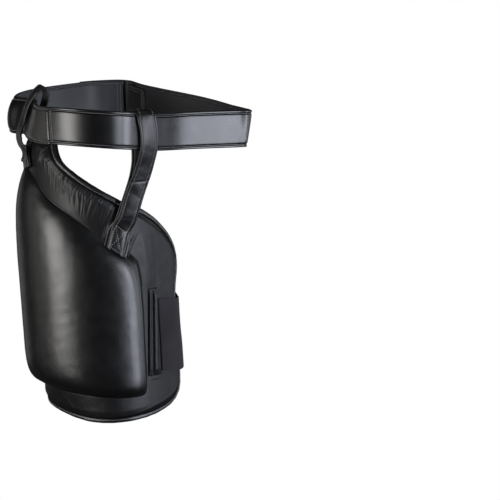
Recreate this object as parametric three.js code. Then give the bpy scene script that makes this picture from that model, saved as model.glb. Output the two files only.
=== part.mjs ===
// Thigh pad for kick training: a padded guard that hangs from a waist belt by two loop straps and is held
// round the thigh by a wide elastic. Millimetres and degrees, +Z up. The wearer faces -Y, so +X is the
// wearer's left. The origin is the middle of the waist belt's loop, at half the belt's height.

import * as THREE from 'three';
import { mergeVertices } from 'three/addons/utils/BufferGeometryUtils.js';

// Free space between neighbouring pieces
const GAP = 0.4;

// Guard: a section of a slightly leaning, slightly tapering sleeve, measured on the flange's outer face.
// Its hip tab is tucked inward at the top, behind the belt, and its lower edge turns inward a little at the
// front, between the angles given.
const AXIS_Y = -12;
const AXIS_X_AT_TOP = -38;
const AXIS_TOP_HEIGHT = -43;
const AXIS_LEAN = 0.055;
const FLANGE_RADIUS = 102;
const FLANGE_TAPER = 0.009;
const FLANGE_THICKNESS = 12;
const EDGE_OUTER_DROP = 3.5;
const EDGE_INNER_RISE = 1.5;
const RIM_SLOPE_WIDTH = 11;
const BULGE_SIDE_HEIGHT = 15.5;
const BULGE_CROWN_SWELL = 8.3;
const CROWN_ANGLE = -80;
const CROWN_HALF_ANGLE = 80;
const GATHER_DEPTH = 1.0;
const GATHER_RIM_SHARE = 0.5;
const GATHER_FOOT_SHARE = 0.4;
const TUCK_DEPTH = 14;
const TUCK_FROM = -48;
const TUCK_TO = -10;
const LOW_TUCK_DEPTH = 4;
const LOW_TUCK_FROM = -350;
const LOW_TUCK_TO = -400;
const LOW_TUCK_ANGLES = [-100, -65, 45, 75];
const MM_PER_DEGREE = FLANGE_RADIUS * Math.PI / 180;

// Edge binding round the guard
const BINDING_WIDTH = 5;
const BINDING_OVERHANG = 1.0;
const BINDING_ROUND_SHARE = 0.45;
const BINDING_NOSE_SHARE = 0.4;

// Ribs of the guard: outline point, foot of the bulge and width of the bulge's rolled edge. Angles go round
// the sleeve from the front (-Y), positive to +X. "soft" is 0 where the bulge rises steeply from its foot and
// 1 where it rises gradually, "gather" the share of the gathers' full depth and "steps" the number of facets
// to the next rib.
const RIB_COLUMNS = ['edgeAngle', 'edgeHeight', 'footAngle', 'footHeight', 'roll', 'soft', 'gather', 'steps'];
const RIGHT_RIBS = table(RIB_COLUMNS, [
  [-74, -11, -80, -63.5, 58, 0.9, 0, 3],
  [-53, -12, -67, -68, 54, 0.9, 0, 2],
  [-44, -17.5, -57, -77, 52, 0.9, 0, 2],
  [-38.5, -29, -48, -86, 52, 0.9, 0, 2],
  [-30, -46, -38, -97, 52, 0.9, 0.3, 4],
  [-20, -58.5, -27, -109.5, 50, 0.9, 1, 8],
  [-7.5, -72, -14.5, -122.5, 46, 0.9, 1, 8],
  [7.5, -87, -5, -136, 40, 0.8, 0.4, 4],
  [22, -100.5, 0, -153, 34, 0.6, 0, 2],
  [35, -110, 4, -167, 30, 0.4, 0, 3],
  [52, -132, 13.5, -176, 26, 0.2, 0, 3],
  [69, -164, 21.5, -186, 25, 0.1, 0, 3],
  [75, -191, 25.2, -205, 25, 0, 0, 3],
  [68.5, -230, 26.3, -240, 25, 0, 0, 4],
  [67, -295, 26.6, -300, 25, 0, 0, 3],
  [69.5, -345, 26, -336, 27, 0, 0, 3],
  [67, -365, 23, -351, 32, 0, 0, 2],
  [58, -379.5, 15, -361, 38, 0, 0, 3],
  [39, -390, 6, -366, 42, 0, 0, 3],
  [14, -396.8, -12, -366, 45, 0, 0, 3],
]);
const LEFT_RIBS = table(RIB_COLUMNS, [
  [-97, -13, -92, -64.5, 56, 0.9, 0, 4],
  [-106, -23, -99, -69, 52, 0.9, 0, 4],
  [-113, -42, -104, -80, 46, 0.8, 0, 5],
  [-121, -70, -107, -98, 38, 0.6, 0, 5],
  [-135, -110, -109, -125, 32, 0.3, 0, 5],
  [-146, -150, -110, -160, 30, 0.2, 0, 5],
  [-149, -200, -110, -205, 30, 0.2, 0, 6],
  [-149, -280, -110, -280, 30, 0.2, 0, 6],
  [-149, -338, -109, -335, 32, 0.2, 0, 5],
  [-143, -364, -105, -352, 35, 0.1, 0, 5],
  [-126, -383, -95, -361, 38, 0, 0, 5],
  [-98, -390, -79, -364, 42, 0, 0, 5],
  [-60, -395.5, -56, -365, 45, 0, 0, 5],
]);
const BOTTOM_RIB = table(RIB_COLUMNS, [[-22, -400.5, -34, -365.5, 45, 0, 0, 0]])[0];
const SPINE_TOP = { angle: -43, height: -150 };
const SPINE_BOTTOM = { angle: -40, height: -318 };
const SPINE_EVEN_SHARE = 0.35;

// Rings of the guard between its edge and its spine
const BAND_SHARES = [0.42, 0.75];
const ROLL_ANGLES = [28, 52, 72, 90];
const CROWN_SHARES = [0.35, 0.7];
const INNER_SHARES = [0.12, 0.3, 0.48, 0.66, 0.84];

// Waist belt: a flat padded band. The rows follow its middle line clockwise seen from above, from the outer
// end behind the back corner to the inner end at that corner. "lean" turns the lower edge outward and
// "cup" bows the middle of the band outward.
const BELT_WIDTH = 50;
const BELT_THICKNESS = 4.4;
const BELT_STEPS = 2;
const BELT_ROWS = table(['x', 'y', 'z', 'lean', 'cup'], [
  [-74, 129.5, 3.8, 3, 0],
  [-60, 136.5, 4.2, 5, 0],
  [-38, 140.3, 4.8, 5, 0],
  [-19, 140.4, 5.2, 5, 0],
  [-9.5, 137, 5.2, 5, 0],
  [-3, 129, 5.2, 0, 0],
  [13.5, 101, 4.6, 0, 0],
  [40, 69, 3.8, 0, 0],
  [67.5, 41, 2.8, 0, 0],
  [94, 13, 1.8, 0, 0],
  [117, -17, 1, 0, 0],
  [138.5, -50, 0, 0, 0],
  [151, -72, 0, -6, 0],
  [157.8, -84, 0, -11, 0],
  [158.6, -88.8, 0, -11, 0],
  [156, -91.6, 0, -10, 0],
  [150.5, -93.9, 0.2, -8, 0],
  [122, -104.5, 1, 0, 0],
  [97, -113.3, 1.4, 0, 0],
  [71, -120.9, 1.4, 0, 0],
  [52, -125.1, 1.2, 0, 0],
  [32, -128.8, 1.8, 0, 0],
  [5, -136.1, 4.2, 0, 0],
  [-20, -142.9, 6.7, 0, 0],
  [-45, -143.3, 8.5, 0, 0],
  [-70, -135.8, 9.1, 0, 0],
  [-90, -123.4, 8.6, 0, 0],
  [-106, -108.5, 6.8, 2, 0],
  [-119, -90, 5.6, 6, 0],
  [-128, -64, 5.4, 12, 0],
  [-131.5, -33, 4.6, 18, 0],
  [-136.5, -8, 2.6, 18, 1],
  [-148, 14, -0.5, 13, 3],
  [-160, 35, -2, 9, 6],
  [-157, 55, -1, 6, 5],
  [-142, 74, 1, 3, 3],
  [-101.5, 103, 3, 0, 0],
  [-59, 130, 4.2, 3, 0],
  [-36, 134.2, 4.8, 5, 0],
  [-14, 134.5, 5.2, 5, 0],
]);

// Thin tab on the belt's inner face beside its back corner, with a round end
const TAB_THICKNESS = 1.6;
const TAB_STEPS = 2;
const TAB_ROWS = table(['x', 'y', 'z', 'width'], [
  [-4.8, 124.5, 5, 42],
  [3.5, 110.5, 4.5, 42],
  [10, 100, 4.2, 42],
  [13.5, 95.6, 4, 40],
  [16, 92.5, 3.8, 34],
  [17.6, 90.5, 3.7, 22],
]);

// Loop straps: from the outer layer's sewn end up over the belt and down to the inner layer's sewn end.
// "facing" is the direction that the outer layer's face looks to, from the front (-Y), positive to +X.
// "slant" is the slope of a sewn end's cut, lower towards +X.
const STRAP_WIDTH = 27;
const STRAP_THICKNESS = 2.4;
const STRAP_STEPS = 2;
const STRAP_COLUMNS = ['x', 'y', 'z', 'facing'];
const FRONT_ANCHOR = { lowAngle: 10.4, lowHeight: -162, highAngle: 14.4, highHeight: -133.5, slant: 0.3 };
const FRONT_STRAP_ROWS = table(STRAP_COLUMNS, [
  [0.9, -119, -116, 9],
  [11.5, -124, -82, 22],
  [20.5, -131, -49, 30],
  [29, -140, -16, 34],
  [30.5, -143, 8, 35],
  [29.4, -143, 20, 33],
  [27.4, -139.5, 27, 28],
  [24.2, -130.5, 30.6, 18],
  [21.2, -118.5, 27.6, 4],
  [19.8, -112.5, 20, -5],
  [19, -111, 0, -8],
  [19.2, -111.5, -25, -4],
  [19.2, -113.5, -42, 2],
  [15.7, -115, -63, 6],
  [9.8, -115.6, -82, 9],
  [-2, -115.2, -116, 13],
]);
const SIDE_ANCHOR = { lowAngle: -75, lowHeight: -57, highAngle: -76.5, highHeight: -45, slant: 0 };
const SIDE_STRAP_ROWS = table(STRAP_COLUMNS, [
  [-145.5, -24, -38, -77],
  [-149, -18, -30, -73],
  [-149, -15, -19, -72],
  [-143.5, -14, 0, -74],
  [-137.5, -15, 19, -75],
  [-131, -16.5, 30.5, -75],
  [-124, -17.5, 40, -73],
  [-117.5, -16.5, 44.5, -71],
  [-113.3, -15, 41.5, -70],
  [-112, -14, 32, -69],
  [-117, -14, 14, -71],
  [-126, -16, -6, -75],
  [-130.4, -20.5, -20, -78],
  [-134.4, -24.5, -28, -79],
  [-138.6, -28, -37, -80],
]);

// Elastic round the back of the thigh. "topLift" and "lowLift" are the distances of its middle from the
// flange's outer face at its upper and lower edge.
const ELASTIC_WIDTH = 100;
const ELASTIC_THICKNESS = 2;
const ELASTIC_STEPS = 3;
const ELASTIC_ROWS = table(['angle', 'middle', 'topLift', 'lowLift'], [
  [41.6, -282, 1.5, 1.5],
  [54, -285, 1.5, 1.5],
  [63, -288, 1.5, 1.5],
  [70, -289, -1.4, -0.4],
  [77, -290, -6.8, -3.2],
  [90, -291, -12, -6.8],
  [108, -291, -13, -8.5],
  [132, -290, -12, -9],
  [160, -288, -10, -9],
  [186, -286, -6, -6],
  [204, -284, -1.2, -1.2],
  [212, -283, 1.2, 1.2],
  [221, -283, 1.5, 1.5],
  [234, -283, 1.5, 1.5],
]);

// Upright welt on the flange in front of the elastic: share of its width, height above the flange
const WELT_TOP = { height: -217, firstAngle: 33, lastAngle: 42.4 };
const WELT_LOW = { height: -337, firstAngle: 28.8, lastAngle: 39.4 };
const WELT_LAST_ANGLE = 41.1;
const WELT_LAST_RISE = 1.2;
const WELT_STEPS = 8;
const WELT_END_FALL = 1.6;
const WELT_PROFILE = table(['share', 'rise'], [
  [0, 0.9],
  [0.16, 2.9],
  [0.34, 1.9],
  [0.55, 4.2],
  [0.74, 4.2],
  [0.84, 2.2],
]);

// Colours
const BLACK_LEATHER = '#1c1c1e';
const BINDING_LEATHER = '#222224';
const BELT_LEATHER = '#1f2023';
const TAB_BLACK = '#17171a';
const ELASTIC_GREY = '#2b2a2e';

function table(columns, rows) {
  return rows.map((row) => Object.fromEntries(columns.map((name, i) => [name, row[i]])));
}

const radians = (degrees) => THREE.MathUtils.degToRad(degrees);
const mix = (a, b, share) => a + (b - a) * share;

/** Value of a table's column at a row number that may lie between two rows. */
function columnAt(rows, name, place) {
  const first = Math.min(Math.floor(place), rows.length - 2);
  return mix(rows[first][name], rows[first + 1][name], place - first);
}

/** Axis and outer radius of the sleeve at a height, and a point at a distance from its outer face. */
const axisX = (height) => AXIS_X_AT_TOP + (AXIS_TOP_HEIGHT - height) * AXIS_LEAN;
const tuck = (height) => TUCK_DEPTH * THREE.MathUtils.smoothstep(height, TUCK_FROM, TUCK_TO);
const flangeRadius = (height) => FLANGE_RADIUS - (AXIS_TOP_HEIGHT - height) * FLANGE_TAPER - tuck(height);
function lowTuck(angle, height) {
  const [first, full, last, end] = LOW_TUCK_ANGLES;
  const begun = THREE.MathUtils.smoothstep(angle, first, full);
  const ended = THREE.MathUtils.smoothstep(angle, last, end);
  const down = THREE.MathUtils.smoothstep(-height, -LOW_TUCK_FROM, -LOW_TUCK_TO);
  return LOW_TUCK_DEPTH * begun * (1 - ended) * down;
}
function sleevePoint(angle, height, lift) {
  const radius = flangeRadius(height) + lift - lowTuck(angle, height);
  const turn = radians(angle);
  return new THREE.Vector3(axisX(height) + radius * Math.sin(turn), AXIS_Y - radius * Math.cos(turn), height);
}

/** A solid through rings of points, closed end to end or capped at its first and last ring. */
function loft(rings, { ringed = false, capped = !ringed } = {}) {
  const size = rings[0].length;
  const positions = rings.flat().flatMap((p) => [p.x, p.y, p.z]);
  const index = [];
  const joints = ringed ? rings.length : rings.length - 1;
  for (let r = 0; r < joints; r += 1) {
    const low = r * size;
    const high = ((r + 1) % rings.length) * size;
    for (let k = 0; k < size; k += 1) {
      const next = (k + 1) % size;
      index.push(low + k, low + next, high + next, low + k, high + next, high + k);
    }
  }
  if (capped) {
    const last = (rings.length - 1) * size;
    for (let k = 1; k < size - 1; k += 1) {
      index.push(0, k + 1, k, last, last + k, last + k + 1);
    }
  }
  const geometry = new THREE.BufferGeometry();
  geometry.setAttribute('position', new THREE.Float32BufferAttribute(positions, 3));
  geometry.setIndex(index);
  return facingOut(mergeVertices(geometry));
}

/** The geometry with its triangles turned outward, without triangles that have no area. */
function facingOut(geometry) {
  const points = geometry.getAttribute('position');
  const corner = (i) => new THREE.Vector3().fromBufferAttribute(points, i);
  const old = geometry.getIndex().array;
  const kept = [];
  let volume = 0;
  for (let i = 0; i < old.length; i += 3) {
    const [a, b, c] = [old[i], old[i + 1], old[i + 2]];
    if (a !== b && b !== c && c !== a) {
      kept.push([a, b, c]);
      volume += corner(a).dot(corner(b).cross(corner(c)));
    }
  }
  geometry.setIndex(kept.flatMap(([a, b, c]) => (volume < 0 ? [a, c, b] : [a, b, c])));
  geometry.computeVertexNormals();
  return geometry;
}

/** A ring of ribs refined to its stations, as smooth curves through the table's points. */
function padStations() {
  const ribs = [...RIGHT_RIBS, BOTTOM_RIB, ...[...LEFT_RIBS].reverse()];
  const flat = (angle, height) => new THREE.Vector3(angle * MM_PER_DEGREE, height, 0);
  const smooth = (points) => new THREE.CatmullRomCurve3(points, true, 'centripetal');
  const edge = smooth(ribs.map((rib) => flat(rib.edgeAngle, rib.edgeHeight)));
  const foot = smooth(ribs.map((rib) => flat(rib.footAngle, rib.footHeight)));
  const half = RIGHT_RIBS.reduce((sum, rib) => sum + rib.steps, 0);
  const stations = [];
  ribs.forEach((rib, i) => {
    const next = ribs[(i + 1) % ribs.length];
    const { steps } = i < RIGHT_RIBS.length ? rib : next;
    for (let s = 0; s < steps; s += 1) {
      const share = s / steps;
      const place = (i + share) / ribs.length;
      stations.push({
        edge: edge.getPoint(place),
        foot: foot.getPoint(place),
        roll: mix(rib.roll, next.roll, share),
        soft: mix(rib.soft, next.soft, share),
        gather: mix(rib.gather, next.gather, share) * GATHER_DEPTH * (stations.length % 2 ? -1 : 1),
      });
    }
  });
  return { stations, half };
}

/** Adds to each station its inward direction at the outline and its own point of the spine. */
function finishStations({ stations, half }) {
  const count = stations.length;
  const top = new THREE.Vector3(SPINE_TOP.angle * MM_PER_DEGREE, SPINE_TOP.height, 0);
  const bottom = new THREE.Vector3(SPINE_BOTTOM.angle * MM_PER_DEGREE, SPINE_BOTTOM.height, 0);
  stations.forEach((station, k) => {
    const along = stations[(k + 1) % count].edge.clone().sub(stations[(k + count - 1) % count].edge);
    station.inward = new THREE.Vector3(along.y, -along.x, 0).normalize();
    const share = k <= half ? k / half : (count - k) / (count - half);
    const eased = (1 - Math.cos(Math.PI * share)) / 2;
    station.spine = top.clone().lerp(bottom, mix(eased, share, SPINE_EVEN_SHARE));
  });
  return stations;
}

/** A point of the guard from a place on the unrolled sleeve and a height above the flange. */
const onSleeve = (flat, lift) => sleevePoint(flat.x / MM_PER_DEGREE, flat.y, lift);

/** Full height of the bulge above the flange, greatest along its middle. */
function bulgeHeight(flat) {
  const side = (flat.x / MM_PER_DEGREE - CROWN_ANGLE) / CROWN_HALF_ANGLE;
  return BULGE_SIDE_HEIGHT + BULGE_CROWN_SWELL * Math.max(0, 1 - side * side);
}

/** The guard: inner face from its spine to the edge, then flange, bulge and crown back to the spine. */
function padShell(stations) {
  const edgeOf = (st) => st.edge.clone().addScaledVector(st.inward, BINDING_WIDTH + GAP);
  const rimOf = (st) => st.edge.clone().addScaledVector(st.inward, BINDING_WIDTH + GAP + RIM_SLOPE_WIDTH);
  const ring = (placeOf, liftOf) => stations.map((st) => onSleeve(placeOf(st), liftOf(st)));
  const rings = [ring((st) => st.spine, () => -FLANGE_THICKNESS)];
  for (const share of [...INNER_SHARES].reverse()) {
    rings.push(ring((st) => edgeOf(st).lerp(st.spine, share), () => -FLANGE_THICKNESS));
  }
  rings.push(ring(edgeOf, () => EDGE_INNER_RISE - FLANGE_THICKNESS));
  rings.push(ring(edgeOf, () => -EDGE_OUTER_DROP));
  rings.push(ring(rimOf, (st) => st.gather * GATHER_RIM_SHARE));
  for (const share of BAND_SHARES) {
    rings.push(ring((st) => rimOf(st).lerp(st.foot, share), (st) => st.gather));
  }
  rings.push(ring((st) => st.foot, (st) => st.gather * GATHER_FOOT_SHARE));
  const shoulderOf = (st) => {
    const reach = st.spine.clone().sub(st.foot);
    return st.foot.clone().addScaledVector(reach.normalize(), st.roll);
  };
  for (const angle of ROLL_ANGLES) {
    const share = 1 - Math.cos(radians(angle));
    const steep = Math.sin(radians(angle));
    const gradual = THREE.MathUtils.smoothstep(share, 0, 1);
    const placeOf = (st) => st.foot.clone().lerp(shoulderOf(st), share);
    rings.push(ring(placeOf, (st) => bulgeHeight(placeOf(st)) * mix(steep, gradual, st.soft)));
  }
  for (const share of [...CROWN_SHARES, 1]) {
    const placeOf = (st) => shoulderOf(st).lerp(st.spine, share);
    rings.push(ring(placeOf, (st) => bulgeHeight(placeOf(st))));
  }
  return loft(rings, { capped: false });
}

/** The binding: a rounded bead that follows the guard's whole outline. */
function padBinding(stations) {
  const outer = BINDING_OVERHANG - EDGE_OUTER_DROP;
  const inner = EDGE_INNER_RISE - FLANGE_THICKNESS - BINDING_OVERHANG;
  const middle = (outer + inner) / 2;
  const halfNose = BINDING_NOSE_SHARE * (outer - inner) / 2;
  const section = [
    [BINDING_WIDTH, outer - BINDING_OVERHANG / 2],
    [BINDING_WIDTH * BINDING_ROUND_SHARE, outer],
    [0, middle + halfNose],
    [0, middle - halfNose],
    [BINDING_WIDTH * BINDING_ROUND_SHARE, inner],
    [BINDING_WIDTH, inner + BINDING_OVERHANG / 2],
  ];
  const rings = stations.map((st) => section.map(([depth, lift]) => (
    onSleeve(st.edge.clone().addScaledVector(st.inward, depth), lift))));
  return loft(rings, { ringed: true });
}

/** A band along a table's middle line. "across" gives the direction of its width at a row place. */
function band({ rows, steps, thickness, sections, across, width, cup = () => 0, slant = () => 0 }) {
  const middle = new THREE.CatmullRomCurve3(rows.map((row) => new THREE.Vector3(row.x, row.y, row.z)), false,
    'centripetal');
  const last = rows.length - 1;
  const rings = [];
  for (let i = 0; i <= last * steps; i += 1) {
    const place = i / steps;
    const along = middle.getTangent(place / last);
    const wide = across(place, along);
    wide.addScaledVector(along, -wide.dot(along)).normalize();
    const out = along.clone().cross(wide).normalize().negate();
    const centre = middle.getPoint(place / last);
    rings.push(sections.map(([share, side]) => centre.clone()
      .addScaledVector(wide, share * width(place) / 2)
      .addScaledVector(along, slant(place) * share * width(place) / 2)
      .addScaledVector(out, side * thickness / 2 + cup(place) * (1 - share * share))));
  }
  return loft(rings);
}

/** Cross-sections: share of half the width, share of half the thickness. */
const SLAB = [[-1, 0.55], [-0.94, 1], [0.94, 1], [1, 0.55], [1, -0.55], [0.94, -1], [-0.94, -1], [-1, -0.55]];
const THIN_SLAB = [[-1, 1], [1, 1], [1, -1], [-1, -1]];
const BOWED_SLAB = [
  [-1, 0.6], [-0.92, 1], [-0.3, 1], [0.3, 1], [0.92, 1], [1, 0.6],
  [1, -0.6], [0.92, -1], [0.3, -1], [-0.3, -1], [-0.92, -1], [-1, -0.6],
];

/** Direction outward from the belt's loop, level, for a direction along its clockwise middle line. */
const beltOutward = (along) => new THREE.Vector3(-along.y, along.x, 0).normalize();

function belt() {
  return band({
    rows: BELT_ROWS,
    steps: BELT_STEPS,
    thickness: BELT_THICKNESS,
    sections: BOWED_SLAB,
    width: () => BELT_WIDTH,
    cup: (place) => columnAt(BELT_ROWS, 'cup', place),
    across: (place, along) => {
      const lean = radians(columnAt(BELT_ROWS, 'lean', place));
      return new THREE.Vector3(0, 0, Math.cos(lean)).addScaledVector(beltOutward(along), -Math.sin(lean));
    },
  });
}

function beltEndTab() {
  return band({
    rows: TAB_ROWS,
    steps: TAB_STEPS,
    thickness: TAB_THICKNESS,
    sections: THIN_SLAB,
    width: (place) => columnAt(TAB_ROWS, 'width', place),
    across: () => new THREE.Vector3(0, 0, 1),
  });
}

/** A loop strap whose two ends lie one over the other on the guard, at the anchor's two heights. */
function loopStrap(anchor, rows) {
  const innerLift = GAP + STRAP_THICKNESS / 2;
  const outerLift = innerLift + GAP + STRAP_THICKNESS;
  const sewn = (angle, height, lift, slant) => {
    const p = sleevePoint(angle, height, lift);
    return { x: p.x, y: p.y, z: p.z, facing: angle, slant };
  };
  const full = [
    sewn(anchor.lowAngle, anchor.lowHeight, outerLift, -anchor.slant),
    sewn(anchor.highAngle, anchor.highHeight, outerLift, -anchor.slant),
    ...rows.map((row) => ({ ...row, slant: 0 })),
    sewn(anchor.highAngle, anchor.highHeight, innerLift, anchor.slant),
    sewn(anchor.lowAngle, anchor.lowHeight, innerLift, anchor.slant),
  ];
  return band({
    rows: full,
    steps: STRAP_STEPS,
    thickness: STRAP_THICKNESS,
    sections: SLAB,
    width: () => STRAP_WIDTH,
    slant: (place) => columnAt(full, 'slant', place),
    across: (place) => {
      const facing = radians(columnAt(full, 'facing', place));
      return new THREE.Vector3(Math.cos(facing), Math.sin(facing), 0);
    },
  });
}

function thighElastic() {
  const last = ELASTIC_ROWS.length - 1;
  const rings = [];
  for (let i = 0; i <= last * ELASTIC_STEPS; i += 1) {
    const place = i / ELASTIC_STEPS;
    const value = (name) => columnAt(ELASTIC_ROWS, name, place);
    rings.push(THIN_SLAB.map(([share, side]) => sleevePoint(value('angle'),
      value('middle') + share * ELASTIC_WIDTH / 2,
      mix(value('lowLift'), value('topLift'), (share + 1) / 2) + side * ELASTIC_THICKNESS / 2)));
  }
  return loft(rings);
}

function elasticWelt() {
  const rings = [];
  for (let i = 0; i <= WELT_STEPS; i += 1) {
    const share = i / WELT_STEPS;
    const height = mix(WELT_TOP.height, WELT_LOW.height, share);
    const first = mix(WELT_TOP.firstAngle, WELT_LOW.firstAngle, share);
    const last = mix(WELT_TOP.lastAngle, WELT_LOW.lastAngle, share);
    const fall = i === 0 || i === WELT_STEPS ? WELT_END_FALL : 1;
    const top = WELT_PROFILE.map((row) => sleevePoint(mix(first, last, row.share), height,
      GAP + row.rise / fall));
    const side = [WELT_LAST_RISE / fall, 0].map((rise) => sleevePoint(WELT_LAST_ANGLE, height, GAP + rise));
    const underside = sleevePoint(mix(first, WELT_LAST_ANGLE, 0.5), height, GAP);
    rings.push([sleevePoint(first, height, GAP), ...top, ...side, underside]);
  }
  return loft(rings);
}

const group = new THREE.Group();
function add(name, geometry, color, roughness) {
  const mesh = new THREE.Mesh(geometry, new THREE.MeshStandardMaterial({ color, roughness, metalness: 0 }));
  mesh.name = name;
  group.add(mesh);
}

const stations = finishStations(padStations());
add('pad_shell', padShell(stations), BLACK_LEATHER, 0.42);
add('pad_binding', padBinding(stations), BINDING_LEATHER, 0.45);
add('belt', belt(), BELT_LEATHER, 0.42);
add('belt_end_tab', beltEndTab(), TAB_BLACK, 0.6);
add('front_strap', loopStrap(FRONT_ANCHOR, FRONT_STRAP_ROWS), BELT_LEATHER, 0.42);
add('side_strap', loopStrap(SIDE_ANCHOR, SIDE_STRAP_ROWS), BELT_LEATHER, 0.42);
add('thigh_elastic', thighElastic(), ELASTIC_GREY, 0.9);
add('elastic_welt', elasticWelt(), BLACK_LEATHER, 0.42);

export default group;
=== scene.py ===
import math

import bmesh
import bpy
import numpy as np
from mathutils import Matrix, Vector


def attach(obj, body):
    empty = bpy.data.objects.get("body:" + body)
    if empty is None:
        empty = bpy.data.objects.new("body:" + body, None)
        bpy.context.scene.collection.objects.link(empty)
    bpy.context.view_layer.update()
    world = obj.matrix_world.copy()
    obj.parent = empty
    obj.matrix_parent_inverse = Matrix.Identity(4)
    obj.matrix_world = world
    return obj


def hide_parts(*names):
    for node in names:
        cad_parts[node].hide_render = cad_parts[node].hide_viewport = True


# Looks of a thigh pad for kick training. Shapes are worked out in millimetres in the frame of the solids and
# become metres when a mesh is made. The wearer faces -Y, and the origin is the middle of the belt's loop.
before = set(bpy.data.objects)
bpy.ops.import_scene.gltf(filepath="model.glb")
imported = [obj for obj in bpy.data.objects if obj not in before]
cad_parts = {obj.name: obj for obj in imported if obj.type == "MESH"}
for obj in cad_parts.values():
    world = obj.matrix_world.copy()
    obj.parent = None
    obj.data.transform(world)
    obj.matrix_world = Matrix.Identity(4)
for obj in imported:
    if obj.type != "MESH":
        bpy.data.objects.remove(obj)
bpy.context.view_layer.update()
MM = 0.001
TINY = 1e-9
UPWARD = np.array([0.0, 0.0, 1.0])
MERGE_DISTANCE = 1e-6
# Distance between sewn layers
GAP = 0.4

# Smooth random relief is a sum of waves. Each row of a table of ripples is height, wavelength, seed
RIPPLE_WAVES = 9
RIPPLE_SPREAD = (0.7, 1.5)

# Guard: a section of a slightly leaning, slightly tapering sleeve, measured on the flange's outer face
AXIS_Y = -12
AXIS_X_AT_TOP = -38
AXIS_TOP_HEIGHT = -43
AXIS_LEAN = 0.055
FLANGE_RADIUS = 102
FLANGE_TAPER = 0.009
FLANGE_THICKNESS = 12
EDGE_OUTER_DROP = 3.5
EDGE_INNER_RISE = 1.5
RIM_SLOPE_WIDTH = 11
BULGE_SIDE_HEIGHT = 15.5
BULGE_CROWN_SWELL = 8.3
CROWN_ANGLE = -80
CROWN_HALF_ANGLE = 80
CROWN_POWER = 1.5
TUCK_DEPTH = 14
TUCK_FROM = -48
TUCK_TO = -10
LOW_TUCK_DEPTH = 7.5
LOW_TUCK_FROM = -350
LOW_TUCK_TO = -400
LOW_TUCK_ANGLES = (-92, -50, -40, 4)
MM_PER_DEGREE = FLANGE_RADIUS * math.pi / 180

# Edge binding. Its lip is rounded where it is sewn down: distance from there, drop
BINDING_WIDTH = 6.5
BINDING_OVERHANG = 1.0
BINDING_ROUND = 3.2
BINDING_NOSE_POINTS = 13
BINDING_LIP = [(0, 1.2), (0.15, 0.45), (0.7, 0.1)]
BINDING_OUTER = BINDING_OVERHANG - EDGE_OUTER_DROP
BINDING_INNER = EDGE_INNER_RISE - FLANGE_THICKNESS - BINDING_OVERHANG
BINDING_STITCH_INSET = 1.7
BINDING_RIPPLES = [(0.12, 9, 21), (0.1, 24, 22)]
COVER_START = BINDING_WIDTH + GAP

# Ribs of the guard, down its right side, then along the bottom and up its left side, from the outline to the
# bulge's foot. Then come how far the bulge's wall rolls, how slowly and how softly it rises, how densely the
# cover is gathered, and the share of the spine that the rib takes up
RIB_COLUMNS = [
    "edge_angle", "edge_height", "foot_angle", "foot_height", "roll", "slope", "soft", "gather", "steps",
]
RIBS_DOWN = [
    [-74, -11, -80, -62, 58, 27, 0.1, 0.5, 3],
    [-53, -12, -69, -68.5, 54, 27, 0.1, 1, 2],
    [-44, -17.5, -59, -76.5, 52, 27, 0.1, 1, 2],
    [-38.5, -29, -49.5, -90, 52, 27, 0.1, 1, 2],
    [-30, -46, -39.5, -101, 52, 26, 0.1, 1, 4],
    [-20, -58.5, -28, -111.5, 50, 25, 0.1, 1, 8],
    [-7.5, -72, -15.5, -125.5, 48, 24, 0.15, 1, 8],
    [7.5, -87, -5.5, -139, 46, 23, 0.3, 0.4, 4],
    [22, -100.5, 2.5, -148, 44, 21, 0.5, 0, 2],
    [35, -110, 10, -156, 40, 18, 0.5, 0, 3],
    [52, -132, 18.5, -164, 34, 13, 0.5, 0, 3],
    [69, -164, 25, -177, 28, 9.5, 0.5, 0, 3],
    [75, -191, 27.6, -200, 25, 7, 0.5, 0, 3],
    [68.5, -230, 28.4, -240, 25, 6.2, 0.5, 0, 4],
    [67, -295, 28.1, -300, 25, 6, 0.45, 0, 3],
    [69.5, -345, 27.8, -340, 26, 6, 0.4, 0, 3],
    [67, -365, 27.4, -353, 30, 6.5, 0.4, 0, 2],
    [58, -379.5, 25, -362, 36, 6.5, 0.35, 0, 3],
    [39, -391, 13, -365, 42, 7.5, 0.3, 0, 3],
    [14, -398.6, -9, -364, 40, 9.5, 0.3, 0, 3],
]
RIBS_UP = [
    [-22, -402.3, -34, -362, 36, 11.5, 0.3, 0, 5],
    [-60, -397.3, -56, -362, 40, 11.5, 0.3, 0, 5],
    [-98, -391, -79, -363, 44, 11.5, 0.3, 0, 5],
    [-126, -383, -95, -361.5, 40, 11, 0.3, 0, 5],
    [-143, -364, -105, -353, 35, 10.5, 0.2, 0, 5],
    [-149, -338, -109, -335, 32, 10, 0.2, 0, 6],
    [-149, -280, -110, -280, 30, 10, 0.2, 0, 6],
    [-149, -200, -110, -205, 30, 10, 0.2, 0, 5],
    [-146, -150, -110, -160, 30, 10, 0.2, 0, 5],
    [-135, -110, -109, -125, 32, 11, 0.2, 0, 5],
    [-121, -70, -107, -98, 38, 15, 0.2, 0, 5],
    [-113, -42, -104, -77, 46, 21, 0.15, 0, 4],
    [-106, -23, -99, -65, 52, 25, 0.1, 0, 4],
    [-97, -13, -92, -60, 56, 27, 0.1, 0, 3],
]
SPINE_TOP = (-68, -132)
SPINE_BOTTOM = (-40, -318)
SPINE_EVEN_SHARE = 0.35
SPINE_REACH = 0.985

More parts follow.
